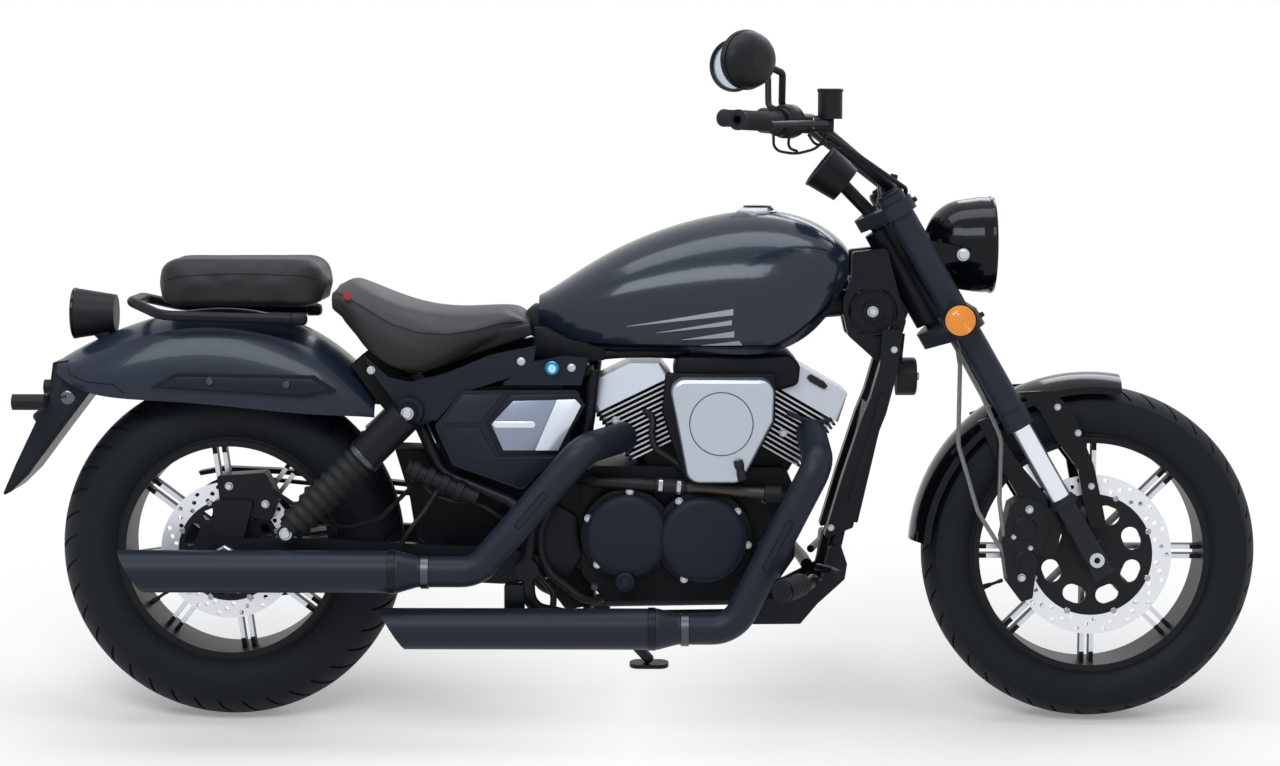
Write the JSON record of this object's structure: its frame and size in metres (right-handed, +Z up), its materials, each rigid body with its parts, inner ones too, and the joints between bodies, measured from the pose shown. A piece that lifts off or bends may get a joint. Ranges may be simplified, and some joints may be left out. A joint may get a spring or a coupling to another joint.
{
  "type": "cruiser motorcycle",
  "caption": "Low cruiser motorcycle with a finned V engine, belt drive, stepped seats and side exhausts, leaning on its side stand; the wheels, the steering and the stand move.",
  "frame": {"origin": "on the floor, under the middle of the bounding box of the motorcycle as it leans on its side stand", "axes": "+X forward along the wheelbase, +Y to the rider's left, the side of the stand, +Z up. The machine leans 9 degrees to its left about the X axis"},
  "size_m": [2.2352, 0.8636, 1.2583],
  "materials": {
    "tyre": "matt",
    "rim_black": "gloss",
    "disc_steel": "satin",
    "frame_black": "satin",
    "belt_rubber": "matt",
    "polished": "polished",
    "forged_grey": "satin",
    "lamp_glass": "clear",
    "lamp_red": "gloss",
    "amber": "gloss",
    "grip_rubber": "matt",
    "trim_black": "matt",
    "engine_black": "satin",
    "silver": "brushed",
    "exhaust_black": "satin",
    "tank_gloss": "gloss",
    "seat_leather": "grained",
    "fender_blue": "satin"
  },
  "bodies": {
    "chassis": {"air_cleaner": "silver", "cylinders": "engine_black", "drive_belt": "belt_rubber", "engine_case": "engine_black", "engine_covers": "engine_black", "exhaust_headers": "exhaust_black", "foot_controls": "trim_black", "frame": "frame_black", "fuel_cap": "polished", "fuel_tank": "tank_gloss", "intake_pipes": "trim_black", "pillion_seat": "seat_leather", "radiator": "engine_black", "rear_axle": "polished", "rear_fender": "fender_blue", "rear_hose": "trim_black", "rider_seat": "seat_leather", "rocker_covers": "silver", "shocks": "trim_black", "side_covers": "frame_black", "silencers": "exhaust_black", "swingarm": "frame_black", "tail_brackets": "frame_black", "tail_lights": "lamp_red"},
    "front_fork": {"control_cables": "trim_black", "fork_legs": "forged_grey", "fork_stanchions": "polished", "fork_upper": "frame_black", "front_axle": "polished", "front_caliper": "frame_black", "front_fender": "frame_black", "front_hoses": "trim_black", "front_indicators": "amber", "gauge": "trim_black", "grips": "grip_rubber", "hand_controls": "trim_black", "handlebar": "frame_black", "headlamp": "frame_black", "headlamp_lens": "lamp_glass", "mirrors": "trim_black"},
    "front_wheel": {"front_disc": "disc_steel", "front_rim": "rim_black", "front_tyre": "tyre"},
    "rear_wheel": {"rear_disc": "disc_steel", "rear_pulley": "frame_black", "rear_rim": "rim_black", "rear_tyre": "tyre"},
    "side_stand": {"side_stand": "frame_black"}
  },
  "joints": [
    {"name": "steering", "type": "hinge", "parent": "chassis", "child": "front_fork", "pos_m": [0.48748, -0.01613, 0.78631], "axis": [-0.5, 0.1355, 0.8554], "range_deg": [-36, 36]},
    {"name": "front_wheel_spin", "type": "hinge", "parent": "front_fork", "child": "front_wheel", "pos_m": [0.81958, -0.09374, 0.29628], "axis": [0, 0.9877, -0.1564], "continuous": true},
    {"name": "rear_wheel_spin", "type": "hinge", "parent": "chassis", "child": "rear_wheel", "pos_m": [-0.71542, -0.09265, 0.30319], "axis": [0, 0.9877, -0.1564], "continuous": true},
    {"name": "stand_fold", "type": "hinge", "parent": "chassis", "child": "side_stand", "pos_m": [-0.06592, 0.01344, 0.15477], "axis": [-0.3158, 0.9483, -0.0321], "range_deg": [0, 110]}
  ]
}
